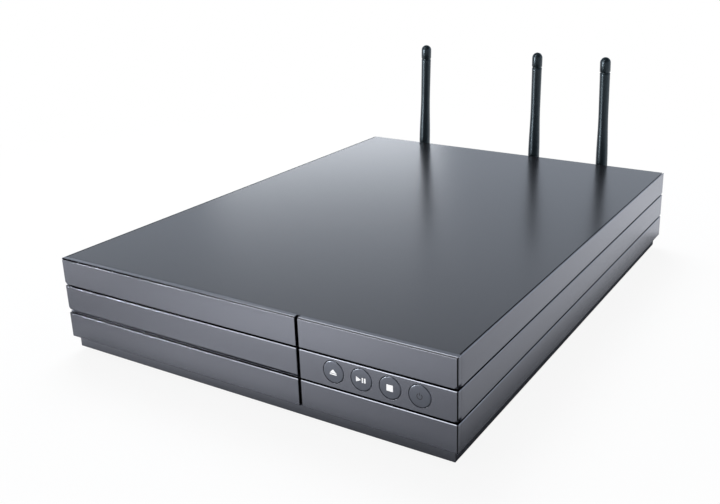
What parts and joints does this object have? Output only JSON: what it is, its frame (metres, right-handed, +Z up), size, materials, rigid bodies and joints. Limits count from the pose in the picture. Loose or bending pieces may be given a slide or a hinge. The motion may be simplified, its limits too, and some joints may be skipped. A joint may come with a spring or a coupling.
{
  "type": "media player",
  "caption": "Flat black disc player: grooved three-band front, sliding disc tray, round push buttons and tilting rod antennas behind a ribbed low case.",
  "frame": {"origin": "centre of the whole part's footprint, on the floor under the feet", "axes": "+X to the right as seen from the front, +Y from the front to the rear, +Z up"},
  "size_m": [0.27, 0.3664, 0.148],
  "materials": {
    "case_black": "satin black moulded plastic",
    "cover_black": "satin black painted steel",
    "pan_black": "black painted steel",
    "button_black": "satin black moulded plastic",
    "foot_rubber": "black rubber",
    "belt_rubber": "ground black rubber",
    "grommet_rubber": "soft brown rubber",
    "antenna_black": "satin black moulded plastic",
    "tray_black": "fine-textured black plastic",
    "frame_black": "matt black plastic",
    "gear_white": "natural acetal",
    "part_grey": "dark grey plastic",
    "steel": "zinc-plated steel sheet",
    "rod_steel": "ground steel",
    "brass_gold": "gold-plated brass",
    "board_green": "green lacquered board",
    "board_tan": "tan paper board",
    "chip_black": "moulded black resin",
    "sink_alu": "extruded aluminium",
    "can_blue": "sleeved aluminium cans",
    "coil_copper": "lacquered copper wire",
    "lens_glass": "clear lens",
    "jack_black": "black plastic",
    "ribbon_white": "white flat ribbon"
  },
  "bodies": {
    "case": {"base_pan": "pan_black", "side_panel_left": "case_black", "side_panel_right": "case_black", "front_bezel": "case_black", "top_cover": "cover_black", "rear_panel": "pan_black", "rubber_feet": "foot_rubber", "cover_screws": "steel", "button_board": "board_green", "push_switches": "part_grey", "infrared_sensor": "chip_black", "button_ribbon": "ribbon_white", "loader_frame": "frame_black", "drive_belt": "belt_rubber", "loading_motor": "steel", "clamp_bridge": "steel", "main_board": "board_green", "main_chips": "chip_black", "heat_sink": "sink_alu", "main_capacitors": "can_blue", "wireless_card": "board_green", "antenna_leads": "chip_black", "power_board": "board_tan", "transformer": "coil_copper", "power_capacitors": "can_blue", "power_coils": "coil_copper", "power_inlet": "jack_black", "hdmi_socket": "steel", "network_jack": "steel", "phono_jacks": "brass_gold", "optical_output": "jack_black", "inner_screws": "steel", "antenna_sockets": "brass_gold"},
    "tray": {"tray_front": "case_black", "disc_tray": "tray_black"},
    "eject_key": {"button_eject": "button_black"},
    "play_key": {"button_play": "button_black"},
    "stop_key": {"button_stop": "button_black"},
    "power_key": {"button_power": "button_black"},
    "tray_pinion": {"drive_gear": "gear_white"},
    "belt_pulley": {"pulley_gear": "gear_white"},
    "motor_roller": {"motor_pulley": "brass_gold"},
    "cam": {"lift_cam": "gear_white"},
    "lift": {"lift_frame": "frame_black", "damper_grommets": "grommet_rubber", "traverse_chassis": "steel", "spindle_motor": "steel", "guide_rods": "rod_steel", "sled_motor": "steel"},
    "spindle": {"turntable": "part_grey"},
    "pickup": {"pickup_sled": "part_grey", "pickup_lens": "lens_glass"},
    "sled_screw": {"lead_screw": "rod_steel"},
    "clamp": {"clamper": "frame_black"},
    "left_swivel": {"antenna_left_base": "antenna_black"},
    "left_rod": {"antenna_left_rod": "antenna_black"},
    "middle_swivel": {"antenna_middle_base": "antenna_black"},
    "middle_rod": {"antenna_middle_rod": "antenna_black"},
    "right_swivel": {"antenna_right_base": "antenna_black"},
    "right_rod": {"antenna_right_rod": "antenna_black"}
  },
  "joints": [
    {"name": "tray_slide", "type": "slide", "parent": "case", "child": "tray", "axis": [0, -1, 0], "range_m": [0, 0.136]},
    {"name": "drive_gear_spin", "type": "hinge", "parent": "case", "child": "tray_pinion", "pos_m": [-0.09582, -0.1559, 0.0316], "axis": [0, 0, 1], "range_deg": [-10, 880]},
    {"name": "pulley_gear_spin", "type": "hinge", "parent": "case", "child": "belt_pulley", "pos_m": [-0.07303, -0.1559, 0.0276], "axis": [0, 0, 1], "range_deg": [-2060, 24]},
    {"name": "motor_pulley_spin", "type": "hinge", "parent": "case", "child": "motor_roller", "pos_m": [-0.03952, -0.1559, 0.0286], "axis": [0, 0, 1], "range_deg": [-7000, 82]},
    {"name": "eject_press", "type": "slide", "parent": "case", "child": "eject_key", "axis": [0, 1, 0], "range_m": [0, 0.0008], "stiffness_N_per_m": 800},
    {"name": "play_press", "type": "slide", "parent": "case", "child": "play_key", "axis": [0, 1, 0], "range_m": [0, 0.0008], "stiffness_N_per_m": 800},
    {"name": "stop_press", "type": "slide", "parent": "case", "child": "stop_key", "axis": [0, 1, 0], "range_m": [0, 0.0008], "stiffness_N_per_m": 800},
    {"name": "power_press", "type": "slide", "parent": "case", "child": "power_key", "axis": [0, 1, 0], "range_m": [0, 0.0008], "stiffness_N_per_m": 800},
    {"name": "cam_slide", "type": "slide", "parent": "case", "child": "cam", "axis": [1, 0, 0], "range_m": [0, 0.024]},
    {"name": "lift_tilt", "type": "hinge", "parent": "case", "child": "lift", "pos_m": [-0.04732, -0.0004, 0.0255], "axis": [1, 0, 0], "range_deg": [0, 4.6]},
    {"name": "turntable_spin", "type": "hinge", "parent": "lift", "child": "spindle", "pos_m": [-0.04732, -0.1049, 0.0346], "axis": [0, 0, 1], "continuous": true},
    {"name": "clamper_spin", "type": "hinge", "parent": "case", "child": "clamp", "pos_m": [-0.04732, -0.1049, 0.0426], "axis": [0, 0, 1], "continuous": true},
    {"name": "pickup_slide", "type": "slide", "parent": "lift", "child": "pickup", "axis": [0, 1, 0], "range_m": [0, 0.034]},
    {"name": "lead_screw_spin", "type": "hinge", "parent": "lift", "child": "sled_screw", "pos_m": [-0.02583, -0.0529, 0.0261], "axis": [0, 1, 0], "range_deg": [-10, 4100]},
    {"name": "left_antenna_swivel", "type": "hinge", "parent": "case", "child": "left_swivel", "pos_m": [-0.088, 0.1785, 0.038], "axis": [0, 1, 0], "range_deg": [-90, 60]},
    {"name": "left_antenna_tilt", "type": "hinge", "parent": "left_swivel", "child": "left_rod", "pos_m": [-0.088, 0.1785, 0.038], "axis": [-0.9995, 0, 0.0332], "range_deg": [0, 90]},
    {"name": "middle_antenna_swivel", "type": "hinge", "parent": "case", "child": "middle_swivel", "pos_m": [0.02, 0.1785, 0.038], "axis": [0, 1, 0], "range_deg": [-60, 25]},
    {"name": "middle_antenna_tilt", "type": "hinge", "parent": "middle_swivel", "child": "middle_rod", "pos_m": [0.02, 0.1785, 0.038], "axis": [-1, 0, 0.0087], "range_deg": [0, 90]},
    {"name": "right_antenna_swivel", "type": "hinge", "parent": "case", "child": "right_swivel", "pos_m": [0.081, 0.1785, 0.038], "axis": [0, 1, 0], "range_deg": [-25, 90]},
    {"name": "right_antenna_tilt", "type": "hinge", "parent": "right_swivel", "child": "right_rod", "pos_m": [0.081, 0.1785, 0.038], "axis": [-0.9999, 0, -0.0157], "range_deg": [0, 90]}
  ],
  "couplings": [
    {"joint": "drive_gear_spin", "follows": "tray_slide", "rad_per_m": 111.11},
    {"joint": "pulley_gear_spin", "follows": "tray_slide", "rad_per_m": -261.44},
    {"joint": "motor_pulley_spin", "follows": "tray_slide", "rad_per_m": -888.89},
    {"joint": "lift_tilt", "follows": "cam_slide", "rad_per_m": 3.2725},
    {"joint": "clamper_spin", "follows": "turntable_spin", "ratio": 1},
    {"joint": "lead_screw_spin", "follows": "pickup_slide", "rad_per_m": 2094.4}
  ]
}
